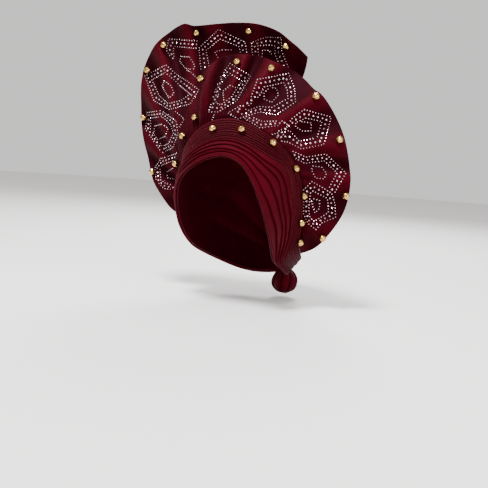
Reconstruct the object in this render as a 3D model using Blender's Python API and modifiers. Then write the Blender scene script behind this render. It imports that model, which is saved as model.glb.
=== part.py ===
"""A tied head wrap: a cap of cloth, a pleated brow band, a fan in two lobes and a knot at the nape.

The wearer faces -Y, the wearer's left is +X, and the origin is the inside of the cap at the crown.
Places on the head are given by a clock angle round the face opening (0 top, 90 wearer's left,
180 nape) and a sweep angle that grows from the face to the back of the head.
"""
import bmesh
import bpy
import numpy as np
from mathutils import Vector
from mathutils.bvhtree import BVHTree

# The head inside the cap, in metres, and how far its open face looks down, in degrees
HEAD_BREADTH = 0.154
HEAD_LENGTH = 0.194
CROWN_HEIGHT = 0.103
HEAD_FULLNESS = 2.3
FACE_TILT = 40.0

# The cap, and the clearances between layers of cloth
CAP_WALL = 0.0016
SEAT_GAP = 0.0003
FACET_ALLOWANCE = 0.0004
EDGE_GAP = 0.0005

# The brow band and the strip of fine pleats behind it
BAND_PLEATS = 5
BAND_CLOTH = 0.0012
BAND_STEP = 0.0017
FINE_PLEATS = 9
FINE_CLOTH = 0.0011
FINE_STEP = 0.0014
PLEAT_LIFT = 0.010
FOLD_WIDTH = 0.12

# The fan stands over a hub, on a plane turned to the wearer's left by FAN_TURN degrees
FAN_TURN = 15.0
HUB_HEIGHT = -0.060
BACK_REACH = 0.222
FRONT_REACH = 0.152
FAN_DEPTH = 0.040
FAN_CLOTH = 0.0016
BACK_SETTLE = 12.0

# The knot at the nape, the beads, and how both are brought to rest on the cloth
KNOT_CLOCK = 168.0
KNOT_SWEEP = 81.0
KNOT_RADIUS = 0.0150
KNOT_START = 0.060
KNOT_GATHERS = 8
KNOT_GATHER_DEPTH = 0.0007
BEAD_DIAMETER = 0.009
PROBE = 0.01
SEARCH_REACH = 0.100
SETTLE_STEPS = 12

# How finely each piece is faceted
CAP_COLUMNS = 36
CAP_ROWS = 9
STRIP_COLUMNS = 48
INSIDE_ROWS = 3
COLUMNS_PER_RIB = 3
FAN_ROWS = 8
KNOT_SIDES = 24
KNOT_RINGS = 10
BEAD_SIDES = 10
BEAD_RINGS = 6

# Lines round the head, as sweep angles at each clock angle: the cap's rim, the band's rear edge and
# the fine pleats' rear edge. The last column is how far that last edge stands off the cap, as a
# share of PLEAT_LIFT. The rows run from the knot round the wearer's right and back to the knot.
HEAD_LINES = [
    # clock, rim, band_rear, pleats_rear, lift
    (-192.0, 84.0, 90.0, 97.0, 0.05),
    (-150.0, 73.0, 80.0, 91.0, 0.10),
    (-115.0, 54.0, 62.0, 83.0, 0.20),
    (-88.0, 51.0, 61.0, 85.0, 0.35),
    (-60.0, 56.0, 66.0, 88.0, 0.60),
    (-33.0, 62.0, 73.0, 93.0, 0.90),
    (-14.0, 67.0, 80.0, 103.0, 1.00),
    (0.0, 72.5, 86.0, 108.0, 0.75),
    (12.0, 75.5, 88.0, 107.0, 0.45),
    (24.0, 74.5, 88.0, 106.5, 0.25),
    (36.0, 68.5, 86.5, 108.5, 0.15),
    (50.0, 60.5, 84.5, 109.5, 0.10),
    (65.0, 54.0, 79.0, 107.0, 0.10),
    (82.0, 49.0, 70.0, 99.0, 0.10),
    (98.0, 47.0, 59.0, 88.0, 0.10),
    (115.0, 48.0, 54.0, 78.0, 0.10),
    (150.0, 71.0, 78.0, 90.0, 0.05),
    (168.0, 84.0, 90.0, 97.0, 0.05),
]

# Ribs of the fan's two lobes, from the wearer's right to the left, a row for each ridge or valley.
# clock is the place along the fine pleats' rear edge, and back is how many degrees behind that edge
# the rib starts. bearing (0 up, 90 wearer's left) and reach (a share of the lobe's reach) place its
# outer end round the hub. near, mid and edge are depths in front of the fan's plane at one third,
# two thirds and the whole of its length, as shares of FAN_DEPTH.
BACK_RIBS = [
    # clock, back, bearing, reach, near, mid, edge
    (-108.0, 0.0, -126.0, 0.52, -0.64, -0.54, -0.45),
    (-100.0, 0.0, -117.5, 0.57, -0.44, -0.32, -0.25),
    (-92.0, 0.0, -109.5, 0.59, -0.34, -0.20, -0.10),
    (-84.0, 0.0, -98.5, 0.62, -0.14, 0.02, 0.08),
    (-76.0, 0.0, -86.5, 0.67, -0.14, -0.12, -0.06),
    (-68.0, 0.0, -75.5, 0.72, 0.12, 0.14, 0.12),
    (-60.0, 0.0, -65.5, 0.81, 0.10, -0.06, -0.08),
    (-52.5, 0.0, -55.0, 0.88, 0.40, 0.26, 0.16),
    (-45.5, 0.0, -48.5, 0.95, 0.34, 0.00, -0.04),
    (-39.5, 0.0, -41.0, 0.96, 0.58, 0.32, 0.20),
    (-34.0, 0.5, -35.5, 0.98, 0.44, -0.04, -0.04),
    (-29.0, 3.0, -28.0, 0.94, 0.50, 0.14, 0.36),
    (-24.0, 6.0, -25.0, 0.915, 0.34, -0.20, 0.06),
    (-18.5, 9.0, -18.0, 0.87, 0.26, -0.20, 0.28),
    (-12.0, 11.0, -10.5, 0.86, 0.12, -0.34, 0.06),
    (-4.0, 12.0, -1.0, 0.83, 0.14, -0.28, 0.26),
    (5.0, 12.0, 7.0, 0.81, 0.08, -0.36, 0.12),
    (14.0, 12.0, 16.0, 0.76, 0.10, -0.26, 0.28),
    (23.0, 12.0, 25.0, 0.72, 0.06, -0.30, 0.14),
]
FRONT_RIBS = [
    # clock, back, bearing, reach, near, mid, edge
    (-21.0, 0.0, -32.5, 0.81, 0.92, 0.66, 0.36),
    (-18.5, 0.0, -25.0, 0.90, 1.14, 1.00, 0.66),
    (-16.0, 0.0, -19.5, 0.95, 1.08, 0.90, 0.55),
    (-13.0, 0.0, -14.0, 0.99, 0.80, 0.44, 0.20),
    (-9.0, 0.0, -4.0, 0.965, 0.88, 0.66, 0.40),
    (-5.0, 0.0, 2.0, 0.96, 0.68, 0.32, 0.15),
    (0.0, 0.0, 12.5, 0.92, 0.98, 0.82, 0.50),
    (7.0, 0.0, 23.0, 0.91, 0.68, 0.42, 0.15),
    (15.0, 0.0, 36.5, 0.88, 0.68, 0.52, 0.35),
    (24.0, 0.0, 43.5, 0.89, 0.78, 0.72, 0.45),
    (33.0, 0.0, 57.5, 0.87, 0.44, 0.32, 0.15),
    (43.0, 0.0, 72.5, 0.875, 0.56, 0.56, 0.35),
    (55.0, 0.0, 82.5, 0.87, 0.40, 0.28, 0.15),
    (67.0, 0.0, 91.0, 0.89, 0.46, 0.40, 0.30),
    (81.0, 0.0, 106.5, 0.89, 0.36, 0.22, 0.15),
    (95.0, 0.0, 122.0, 0.88, 0.42, 0.36, 0.30),
    (106.0, 0.0, 132.5, 0.865, 0.36, 0.24, 0.15),
    (115.0, 0.0, 140.5, 0.83, 0.40, 0.34, 0.25),
]

# The knot's rings from its neck to its foot: place along its axis and radius, as shares of KNOT_RADIUS
KNOT_SECTIONS = [
    # along, radius
    (-1.75, 0.34),
    (-1.30, 0.42),
    (-0.90, 0.66),
    (-0.50, 0.88),
    (-0.15, 0.99),
    (0.20, 0.98),
    (0.55, 0.83),
    (0.82, 0.56),
    (1.00, 0.00),
]

# Beads: the cloth that each is sewn to, then shares across it and from its front or base to its edge.
# The outer row comes first, from the wearer's right to the left, and then the row along the gathers.
BEADS = [
    # cloth, across, along
    ("fan_back", 0.19, 0.95),
    ("fan_back", 0.32, 0.955),
    ("fan_back", 0.425, 0.955),
    ("fan_back", 0.52, 0.935),
    ("fan_back", 0.665, 0.955),
    ("fan_back", 0.82, 0.95),
    ("fan_back", 0.935, 0.95),
    ("fan_front", 0.055, 0.83),
    ("fan_front", 0.225, 0.85),
    ("fan_front", 0.36, 0.875),
    ("fan_front", 0.525, 0.90),
    ("fan_front", 0.635, 0.90),
    ("fan_front", 0.795, 0.945),
    ("fan_front", 0.895, 0.92),
    ("fan_back", 0.355, 0.13),
    ("fan_back", 0.55, 0.08),
    ("fan_back", 0.63, 0.145),
    ("fine_pleats", 0.517, 0.45),
    ("fine_pleats", 0.57, 0.44),
    ("fine_pleats", 0.624, 0.635),
    ("fine_pleats", 0.69, 0.765),
    ("fan_front", 0.82, 0.05),
    ("fan_front", 0.90, 0.125),
    ("fan_front", 0.985, 0.29),
]

HEAD_HALF = np.array([HEAD_BREADTH / 2, HEAD_LENGTH / 2, CROWN_HEIGHT])
HEAD_CENTRE = np.array([0.0, 0.0, -CROWN_HEIGHT])
TILT = np.radians(FACE_TILT)
FACE_AXIS = np.array([0.0, -np.cos(TILT), -np.sin(TILT)])
TOP_AXIS = np.array([0.0, -np.sin(TILT), np.cos(TILT)])
LEFT_AXIS = np.array([1.0, 0.0, 0.0])
TURN = np.radians(FAN_TURN)
FAN_ACROSS = np.array([np.cos(TURN), np.sin(TURN), 0.0])
FAN_UP = np.array([0.0, 0.0, 1.0])
FAN_FRONT = np.array([np.sin(TURN), -np.cos(TURN), 0.0])
FAN_HUB = np.array([0.0, 0.0, HUB_HEIGHT])
ON_CAP = CAP_WALL + SEAT_GAP + FACET_ALLOWANCE
EDGE_SWEEP = np.degrees(EDGE_GAP / CROWN_HEIGHT)

for old in list(bpy.data.objects):
    bpy.data.objects.remove(old, do_unlink=True)
PARTS = bpy.data.collections.new("tied_head_wrap")
bpy.context.scene.collection.children.link(PARTS)


def smooth_rows(table, at):
    """Values of a table's other columns at a value of its first, smooth from row to row."""
    rows = np.array(table, float)
    knots, values = rows[:, 0], rows[:, 1:]
    steps = np.diff(knots)[:, None]
    rates = np.diff(values, axis=0) / steps
    inner = (rates[:-1] * steps[1:] + rates[1:] * steps[:-1]) / (steps[:-1] + steps[1:])
    slopes = np.vstack([rates[:1], inner, rates[-1:]])
    row = np.clip(np.searchsorted(knots, at, side="right") - 1, 0, len(knots) - 2)
    width = steps[row]
    t = (at - knots[row])[:, None] / width
    start = values[row] * (1 + 2 * t) * (1 - t) ** 2 + slopes[row] * width * t * (1 - t) ** 2
    end = values[row + 1] * t * t * (3 - 2 * t) - slopes[row + 1] * width * t * t * (1 - t)
    return start + end


def head_lines(clock):
    """Rim, band_rear, pleats_rear and lift at each clock angle, which may pass the knot."""
    rows = smooth_rows(HEAD_LINES, np.where(clock > KNOT_CLOCK, clock - 360.0, clock))
    return rows.T


def over_head(clock, sweep, lift):
    """Points that stand off the inside of the cap by lift, square to the head."""
    clock, sweep = np.radians(clock)[:, None], np.radians(sweep)[:, None]
    outward = np.cos(clock) * TOP_AXIS + np.sin(clock) * LEFT_AXIS
    way = np.cos(sweep) * FACE_AXIS + np.sin(sweep) * outward
    size = (np.abs(way / HEAD_HALF) ** HEAD_FULLNESS).sum(axis=1, keepdims=True)
    inside = way * size ** (-1 / HEAD_FULLNESS)
    square = np.sign(inside) * np.abs(inside / HEAD_HALF) ** (HEAD_FULLNESS - 1) / HEAD_HALF
    square /= np.linalg.norm(square, axis=1, keepdims=True)
    return HEAD_CENTRE + inside + square * np.reshape(lift, (-1, 1))


def material(name, colour, roughness, metallic=0.0):
    finish = bpy.data.materials.new(name)
    finish.use_nodes = True
    shader = finish.node_tree.nodes["Principled BSDF"]
    shader.inputs["Base Color"].default_value = (*colour, 1.0)
    shader.inputs["Roughness"].default_value = roughness
    shader.inputs["Metallic"].default_value = metallic
    return finish


def bent_grid(across, along, place):
    """A grid of faces carried to place(u, v), two shares from 0 to 1, with closed seams welded."""
    grid = bmesh.new()
    bmesh.ops.create_grid(grid, x_segments=across, y_segments=along, size=0.5)
    shares = np.array([vert.co[:2] for vert in grid.verts]) + 0.5
    for vert, point in zip(grid.verts, place(shares[:, 0], shares[:, 1])):
        vert.co = point
    bmesh.ops.remove_doubles(grid, verts=grid.verts, dist=1e-6)
    return grid


def add_piece(name, shape, finish):
    mesh = bpy.data.meshes.new(name)
    shape.to_mesh(mesh)
    shape.free()
    mesh.shade_smooth()
    mesh.materials.append(finish)
    piece = bpy.data.objects.new(name, mesh)
    PARTS.objects.link(piece)
    return piece


def give_wall(piece, wall, side):
    """Thicken a sheet: side is 1 for outwards, the way its faces look, and -1 for inwards."""
    modifier = piece.modifiers.new("wall", "SOLIDIFY")
    modifier.thickness = wall
    modifier.offset = side
    return piece


def make_crown_wrap(finish):
    def place(u, v):
        clock = 360.0 * u - 180.0
        rim = head_lines(clock)[0]
        return over_head(clock, rim + (180.0 - rim) * v, np.zeros(len(u)))
    cap = bent_grid(CAP_COLUMNS, CAP_ROWS, place)
    return give_wall(add_piece("crown_wrap", cap, finish), CAP_WALL, 1)


def pleat_section(pleats, cloth, step):
    """Corners round a pleated strip's section: share of its width, and height over its inside."""
    corners = []
    for pleat in range(pleats):
        corners.append((pleat / pleats, cloth + step))
        corners.append(((pleat + 1 - FOLD_WIDTH) / pleats, cloth))
    corners[-1] = (1.0, cloth)
    inside = [(1 - row / INSIDE_ROWS, 0.0) for row in range(INSIDE_ROWS + 1)]
    return np.array(corners + inside + corners[:1])


def make_strip(name, edges, section, finish):
    """A pleated strip from knot to knot; edges gives its two sweep angles and its rear lift."""
    end_gap = np.degrees(EDGE_GAP / HEAD_BREADTH)
    first = KNOT_CLOCK - 360.0 + end_gap
    last = KNOT_CLOCK - end_gap

    def place(u, v):
        clock = first + (last - first) * u
        front, rear, lift = edges(clock)
        share, height = section[np.rint(v * (len(section) - 1)).astype(int)].T
        return over_head(clock, front + (rear - front) * share, ON_CAP + height + lift * share ** 2)
    strip = bent_grid(STRIP_COLUMNS, len(section) - 1, place)
    ends = [edge for edge in strip.edges if edge.is_boundary]
    bmesh.ops.holes_fill(strip, edges=ends, sides=0)
    bmesh.ops.recalc_face_normals(strip, faces=strip.faces)
    return add_piece(name, strip, finish)


def band_edges(clock):
    rim, band_rear, pleats_rear, lift = head_lines(clock)
    return rim, band_rear, 0.0 * lift


def fine_pleat_edges(clock):
    rim, band_rear, pleats_rear, lift = head_lines(clock)
    return band_rear + EDGE_SWEEP, pleats_rear, lift * PLEAT_LIFT


def fine_pleat_surface(u, v):
    """The outside of the fine pleats: u runs from the knot round the wearer's right, v rearwards."""
    front, rear, lift = fine_pleat_edges(KNOT_CLOCK - 360.0 * (1 - u))
    return over_head(KNOT_CLOCK - 360.0 * (1 - u), front + (rear - front) * v,
                     ON_CAP + FINE_CLOTH + FINE_STEP + lift * v ** 2)


def fan_surface(ribs, reach):
    """The front face of a lobe as place(u, v): u runs across its ribs and v along them."""
    table = [(row / (len(ribs) - 1), *rib) for row, rib in enumerate(ribs)]

    def place(u, v):
        clock, back, bearing, far, near, mid, edge = smooth_rows(table, u).T
        rim, band_rear, pleats_rear, lift = head_lines(clock)
        lift = lift * PLEAT_LIFT * np.clip(1 - back / BACK_SETTLE, 0, 1) + ON_CAP + FAN_CLOTH
        base = over_head(clock, pleats_rear + EDGE_SWEEP + back, lift)
        bearing = np.radians(bearing)
        start = (base - FAN_HUB) @ np.array([FAN_ACROSS, FAN_UP, FAN_FRONT]).T
        across = start[:, 0] + (far * reach * np.sin(bearing) - start[:, 0]) * v
        height = start[:, 1] + (far * reach * np.cos(bearing) - start[:, 1]) * v
        thirds = np.array([start[:, 2], near * FAN_DEPTH, mid * FAN_DEPTH, edge * FAN_DEPTH])
        weights = np.array([(1 - 3 * v) * (2 - 3 * v) * (1 - v) / 2, 9 * v * (1 - v) * (2 - 3 * v) / 2,
                            9 * v * (1 - v) * (3 * v - 1) / 2, v * (3 * v - 1) * (3 * v - 2) / 2])
        depth = (thirds * weights).sum(axis=0)
        return (FAN_HUB + across[:, None] * FAN_ACROSS + height[:, None] * FAN_UP
                + depth[:, None] * FAN_FRONT)
    return place


def make_fan(name, rib_count, surface, finish):
    lobe = bent_grid(COLUMNS_PER_RIB * (rib_count - 1), FAN_ROWS, surface)
    return give_wall(add_piece(name, lobe, finish), FAN_CLOTH, -1)


def finished_cloth(pieces):
    """The finished faces of some pieces as one search tree, and their corners."""
    graph = bpy.context.evaluated_depsgraph_get()
    corners, faces = [], []
    for piece in pieces:
        mesh = piece.evaluated_get(graph).to_mesh()
        faces += [[len(corners) + index for index in face.vertices] for face in mesh.polygons]
        corners += [piece.matrix_world @ vert.co for vert in mesh.vertices]
    return BVHTree.FromPolygons(corners, faces), corners


def settle_ball(radius, start, outward, cloth):
    """Where a ball's centre comes to rest, SEAT_GAP off the cloth, when it moves in from start."""
    tree, corners = cloth
    centre = start
    for _ in range(SETTLE_STEPS):
        centre = centre - outward * (tree.find_nearest(centre)[3] - radius - SEAT_GAP)
    return centre


def settle_shape(shape, start, outward, cloth):
    """Where any closed shape comes to rest in the same way, measured from it and from the cloth."""
    tree, corners = cloth
    skin = BVHTree.FromBMesh(shape)
    around = [corner for corner in corners if (corner - start).length < SEARCH_REACH]
    place = start
    for _ in range(SETTLE_STEPS):
        clear = [tree.find_nearest(vert.co + place)[3] for vert in shape.verts]
        clear += [skin.find_nearest(corner - place)[3] for corner in around]
        place = place - outward * (min(clear) - SEAT_GAP)
    return place


def make_knot(cloth, finish):
    """A gathered ball of cloth with a neck, its axis down the nape."""
    clock = np.full(3, KNOT_CLOCK)
    sweep = KNOT_SWEEP - np.array([0.0, 1.0, 0.0])
    start, lower, outer = [Vector(point) for point in
                           over_head(clock, sweep, [KNOT_START, KNOT_START, 2 * KNOT_START])]
    outward = (outer - start).normalized()
    down = (lower - start).normalized()
    beside = down.cross(outward)
    table = [(row / (len(KNOT_SECTIONS) - 1), *section) for row, section in enumerate(KNOT_SECTIONS)]

    def place(u, v):
        along, radius = smooth_rows(table, v).T
        turn = 2 * np.pi * u
        size = radius * (KNOT_RADIUS + KNOT_GATHER_DEPTH * np.cos(KNOT_GATHERS * turn))
        ring = np.outer(size * np.cos(turn), beside) + np.outer(size * np.sin(turn), outward)
        return ring + np.outer(along * KNOT_RADIUS, down)
    shape = bent_grid(KNOT_SIDES, KNOT_RINGS, place)
    neck = [edge for edge in shape.edges if edge.is_boundary]
    bmesh.ops.holes_fill(shape, edges=neck, sides=0)
    bmesh.ops.recalc_face_normals(shape, faces=shape.faces)
    rest = settle_shape(shape, start, outward, cloth)
    add_piece("nape_knot", shape, finish).location = rest


def make_bead(number, surface, across, along, cloth, finish):
    """A round bead that rests on the front of its cloth."""
    u = across + PROBE * np.array([0, -1, 1, 0, 0])
    v = along + PROBE * np.array([0, 0, 0, -1, 1])
    spot, right, left, lower, upper = [Vector(point) for point in surface(u, v)]
    outward = (left - right).cross(upper - lower).normalized()
    radius = BEAD_DIAMETER / 2
    ball = bmesh.new()
    bmesh.ops.create_uvsphere(ball, u_segments=BEAD_SIDES, v_segments=BEAD_RINGS, radius=radius)
    rest = settle_ball(radius, spot + outward * BEAD_DIAMETER, outward, cloth)
    add_piece("bead_%02d" % number, ball, finish).location = rest


wine_cloth = material("wine_cloth", (0.13, 0.006, 0.016), 0.6)
gold = material("gold", (0.83, 0.60, 0.25), 0.25, 1.0)
surfaces = {
    "fan_back": fan_surface(BACK_RIBS, BACK_REACH),
    "fan_front": fan_surface(FRONT_RIBS, FRONT_REACH),
    "fine_pleats": fine_pleat_surface,
}
band_section = pleat_section(BAND_PLEATS, BAND_CLOTH, BAND_STEP)
fine_section = pleat_section(FINE_PLEATS, FINE_CLOTH, FINE_STEP)
cloth = finished_cloth([
    make_crown_wrap(wine_cloth),
    make_strip("brow_band", band_edges, band_section, wine_cloth),
    make_strip("fine_pleats", fine_pleat_edges, fine_section, wine_cloth),
    make_fan("fan_back", len(BACK_RIBS), surfaces["fan_back"], wine_cloth),
    make_fan("fan_front", len(FRONT_RIBS), surfaces["fan_front"], wine_cloth),
])
make_knot(cloth, wine_cloth)
for number, (carrier, across, along) in enumerate(BEADS, start=1):
    make_bead(number, surfaces[carrier], across, along, cloth, gold)
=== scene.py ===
import bmesh
import bpy
import numpy as np
from mathutils import Matrix, Vector, noise
from mathutils.bvhtree import BVHTree


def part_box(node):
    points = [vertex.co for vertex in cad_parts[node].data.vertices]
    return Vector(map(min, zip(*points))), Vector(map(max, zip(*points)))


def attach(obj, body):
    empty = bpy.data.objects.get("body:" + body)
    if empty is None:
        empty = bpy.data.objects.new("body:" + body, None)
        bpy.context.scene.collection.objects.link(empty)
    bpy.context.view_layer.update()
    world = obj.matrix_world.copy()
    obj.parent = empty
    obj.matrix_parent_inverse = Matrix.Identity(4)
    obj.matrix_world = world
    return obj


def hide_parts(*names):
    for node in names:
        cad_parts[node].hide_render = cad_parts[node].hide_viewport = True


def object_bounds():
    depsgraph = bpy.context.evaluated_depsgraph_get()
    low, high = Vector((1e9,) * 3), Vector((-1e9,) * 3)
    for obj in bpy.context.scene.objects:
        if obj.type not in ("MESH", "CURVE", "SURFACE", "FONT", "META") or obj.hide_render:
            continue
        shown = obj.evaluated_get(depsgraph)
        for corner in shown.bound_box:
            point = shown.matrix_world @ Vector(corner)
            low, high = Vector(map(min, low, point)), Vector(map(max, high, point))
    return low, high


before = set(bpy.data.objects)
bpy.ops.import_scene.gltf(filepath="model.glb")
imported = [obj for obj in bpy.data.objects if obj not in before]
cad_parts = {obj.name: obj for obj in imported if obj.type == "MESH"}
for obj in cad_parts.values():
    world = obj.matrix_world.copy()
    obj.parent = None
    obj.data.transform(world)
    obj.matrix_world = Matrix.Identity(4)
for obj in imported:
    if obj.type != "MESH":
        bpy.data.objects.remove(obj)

cad_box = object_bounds()

# Studio: a pale floor just under the knot in a plain pale room, with soft lamps above, beside and
# behind, and one low in front. The camera stands off the front left, a little above the middle.
CAMERA_YAW, CAMERA_PITCH, CAMERA_ROLL = np.radians([34.0, 6.5, 4.0])
CAMERA_AIM = np.array([0.0, 0.0, -0.110])
CAMERA_DISTANCE = 0.850
CAMERA_ASIDE = 0.003
CAMERA_RAISE = 0.044
CAMERA_FOCAL = 47.95
CAMERA_SENSOR = 36.0
CAMERA_NEAR = 0.02
FLOOR_RADIUS = 6.0
FLOOR_GAP = 0.006
ROOM_COLOUR = (0.93, 0.92, 0.91, 1.0)
ROOM_STRENGTH = 0.95
PAPER_COLOUR = (0.80, 0.78, 0.77, 1.0)
PAPER_ROUGHNESS = 0.9
LAMP_AIM = Vector((0.0, 0.0, -0.03))
LAMPS = [
    # name, azimuth, elevation, distance, size, watts
    ("key_softbox", 0.0, 64.0, 1.5, 0.4, 60.0),
    ("fill_softbox", 80.0, 14.0, 1.9, 0.8, 22.0),
    ("low_softbox", 34.0, -3.0, 1.9, 0.5, 10.0),
    ("back_softbox", 205.0, 40.0, 1.8, 0.9, 42.0),
]

back = np.array([np.sin(CAMERA_YAW) * np.cos(CAMERA_PITCH),
                 -np.cos(CAMERA_YAW) * np.cos(CAMERA_PITCH), np.sin(CAMERA_PITCH)])
level = np.cross([0.0, 0.0, 1.0], back)
level /= np.linalg.norm(level)
upright = np.cross(back, level)
right = np.cos(CAMERA_ROLL) * level + np.sin(CAMERA_ROLL) * upright
up = np.cross(back, right)
stand = CAMERA_AIM - CAMERA_ASIDE * right - CAMERA_RAISE * up + CAMERA_DISTANCE * back
camera = bpy.data.objects.new("camera", bpy.data.cameras.new("camera"))
camera.matrix_world = Matrix([[*axis, place] for axis, place in
                              zip(np.array([right, up, back]).T, stand)] + [[0, 0, 0, 1]])
camera.data.lens = CAMERA_FOCAL
camera.data.sensor_width = CAMERA_SENSOR
camera.data.clip_start = CAMERA_NEAR
bpy.context.scene.collection.objects.link(camera)
bpy.context.scene.camera = camera

for name, azimuth, elevation, distance, size, watts in LAMPS:
    turn, rise = np.radians([azimuth, elevation])
    way = Vector((np.sin(turn) * np.cos(rise), -np.cos(turn) * np.cos(rise), np.sin(rise)))
    lamp = bpy.data.objects.new(name, bpy.data.lights.new(name, "AREA"))
    lamp.data.shape = "DISK"
    lamp.data.size = size
    lamp.data.energy = watts
    lamp.location = LAMP_AIM + way * distance
    lamp.rotation_mode = "QUATERNION"
    lamp.rotation_quaternion = way.to_track_quat("Z", "Y")
    bpy.context.scene.collection.objects.link(lamp)

room = bpy.data.worlds.new("pale_room")
room.use_nodes = True
room.node_tree.nodes["Background"].inputs["Color"].default_value = ROOM_COLOUR
room.node_tree.nodes["Background"].inputs["Strength"].default_value = ROOM_STRENGTH
bpy.context.scene.world = room

disc = bmesh.new()
bmesh.ops.create_circle(disc, cap_ends=True, segments=96, radius=FLOOR_RADIUS)
bmesh.ops.translate(disc, verts=disc.verts, vec=(0.0, 0.0, cad_box[0].z - FLOOR_GAP))
floor_mesh = bpy.data.meshes.new("floor")
disc.to_mesh(floor_mesh)
disc.free()
floor = bpy.data.objects.new("floor", floor_mesh)
bpy.context.scene.collection.objects.link(floor)
paper = bpy.data.materials.new("pale_paper")
paper.use_nodes = True
paper.node_tree.nodes["Principled BSDF"].inputs["Base Color"].default_value = PAPER_COLOUR
paper.node_tree.nodes["Principled BSDF"].inputs["Roughness"].default_value = PAPER_ROUGHNESS
floor_mesh.materials.append(paper)

# Crown cloth: one width of the stiff satin-faced cloth drawn smooth over the crown and down the back,
# and pulled to the knot, from which its drag folds rise. The band and the pleats are laid over its
# front edge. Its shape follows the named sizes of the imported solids.
HEAD_BREADTH = 0.154
HEAD_LENGTH = 0.194
CROWN_HEIGHT = 0.103
HEAD_FULLNESS = 2.3
FACE_TILT = 40.0
CAP_WALL = 0.0016
CAP_SHEET = 0.0014
SEAT_GAP = 0.0003
FACET_ALLOWANCE = 0.0004
EDGE_GAP = 0.0005
ON_CAP = CAP_WALL + SEAT_GAP + FACET_ALLOWANCE
KNOT_CLOCK = 168.0
KNOT_SWEEP = 81.0
DRAG_FOLDS = 24
DRAG_DEPTH = 0.0032
DRAG_CLEAR = (2.0, 16.0)
DRAG_REACH = (0.250, 0.070)
SWAY_ALONG, SWAYS_ALONG = 0.5, 9
SWAY_ROUND, SWAYS_ROUND = 0.3, 3
CROWN_GRID = (240, 90)
CROWN_CUT = (0.30, 0.28)
HEAD_LINES = [
    # clock, rim, band_rear, pleats_rear, lift
    (-192.0, 84.0, 90.0, 97.0, 0.05),
    (-150.0, 73.0, 80.0, 91.0, 0.10),
    (-115.0, 54.0, 62.0, 83.0, 0.20),
    (-88.0, 51.0, 61.0, 85.0, 0.35),
    (-60.0, 56.0, 67.0, 88.0, 0.60),
    (-33.0, 62.0, 74.5, 93.0, 0.90),
    (-14.0, 67.0, 82.0, 103.0, 1.00),
    (0.0, 72.5, 87.5, 108.0, 0.75),
    (12.0, 75.5, 89.5, 107.0, 0.45),
    (24.0, 74.5, 90.0, 106.5, 0.25),
    (36.0, 68.5, 91.5, 108.5, 0.15),
    (50.0, 60.5, 97.0, 109.5, 0.10),
    (58.0, 57.0, 94.5, 108.5, 0.10),
    (70.0, 52.2, 88.0, 105.0, 0.10),
    (84.0, 48.7, 81.0, 97.5, 0.10),
    (98.0, 47.0, 69.0, 88.0, 0.10),
    (115.0, 48.0, 57.0, 78.0, 0.10),
    (150.0, 71.0, 78.0, 90.0, 0.05),
    (168.0, 84.0, 90.0, 97.0, 0.05),
]
HEAD_HALF = np.array([HEAD_BREADTH / 2, HEAD_LENGTH / 2, CROWN_HEIGHT])
HEAD_CENTRE = np.array([0.0, 0.0, -CROWN_HEIGHT])
TILT = np.radians(FACE_TILT)
FACE_AXIS = np.array([0.0, -np.cos(TILT), -np.sin(TILT)])
TOP_AXIS = np.array([0.0, -np.sin(TILT), np.cos(TILT)])
LEFT_AXIS = np.array([1.0, 0.0, 0.0])
EDGE_SWEEP = np.degrees(EDGE_GAP / CROWN_HEIGHT)
SHARP_ANGLE = np.radians(60.0)
WELD = 1e-6
THREADS = [("X", 480.0), ("Y", 700.0)]
# Share of the deep colour that the folds are painted in, as painted shade
FOLD_SHADE_TONE = 0.12


def smooth_rows(table, at):
    """Values of a table's other columns at a value of its first, smooth from row to row."""
    rows = np.array(table, float)
    knots, values = rows[:, 0], rows[:, 1:]
    steps = np.diff(knots)[:, None]
    rates = np.diff(values, axis=0) / steps
    inner = (rates[:-1] * steps[1:] + rates[1:] * steps[:-1]) / (steps[:-1] + steps[1:])
    slopes = np.vstack([rates[:1], inner, rates[-1:]])
    row = np.clip(np.searchsorted(knots, at, side="right") - 1, 0, len(knots) - 2)
    width = steps[row]
    t = (at - knots[row])[:, None] / width
    start = values[row] * (1 + 2 * t) * (1 - t) ** 2 + slopes[row] * width * t * (1 - t) ** 2
    end = values[row + 1] * t * t * (3 - 2 * t) - slopes[row + 1] * width * t * t * (1 - t)
    return start + end


def head_lines(clock):
    """Rim, band_rear, pleats_rear and lift at each clock angle, which may pass the knot."""
    return smooth_rows(HEAD_LINES, np.where(clock > KNOT_CLOCK, clock - 360.0, clock)).T


def over_head(clock, sweep, lift):
    """Points that stand off the inside of the cap by lift, square to it. Sweep is the angle from the
    way out of its front opening, and clock is the angle round that way from the top to the left."""
    clock, sweep = np.radians(clock)[:, None], np.radians(sweep)[:, None]
    outward = np.cos(clock) * TOP_AXIS + np.sin(clock) * LEFT_AXIS
    way = np.cos(sweep) * FACE_AXIS + np.sin(sweep) * outward
    size = (np.abs(way / HEAD_HALF) ** HEAD_FULLNESS).sum(axis=1, keepdims=True)
    inside = way * size ** (-1 / HEAD_FULLNESS)
    square = np.sign(inside) * np.abs(inside / HEAD_HALF) ** (HEAD_FULLNESS - 1) / HEAD_HALF
    square /= np.linalg.norm(square, axis=1, keepdims=True)
    return HEAD_CENTRE + inside + square * np.reshape(lift, (-1, 1))


def eased(value, low, high):
    """0 up to low, 1 from high, and smooth between them."""
    share = np.clip((value - low) / (high - low), 0, 1)
    return share * share * (3 - 2 * share)


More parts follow.
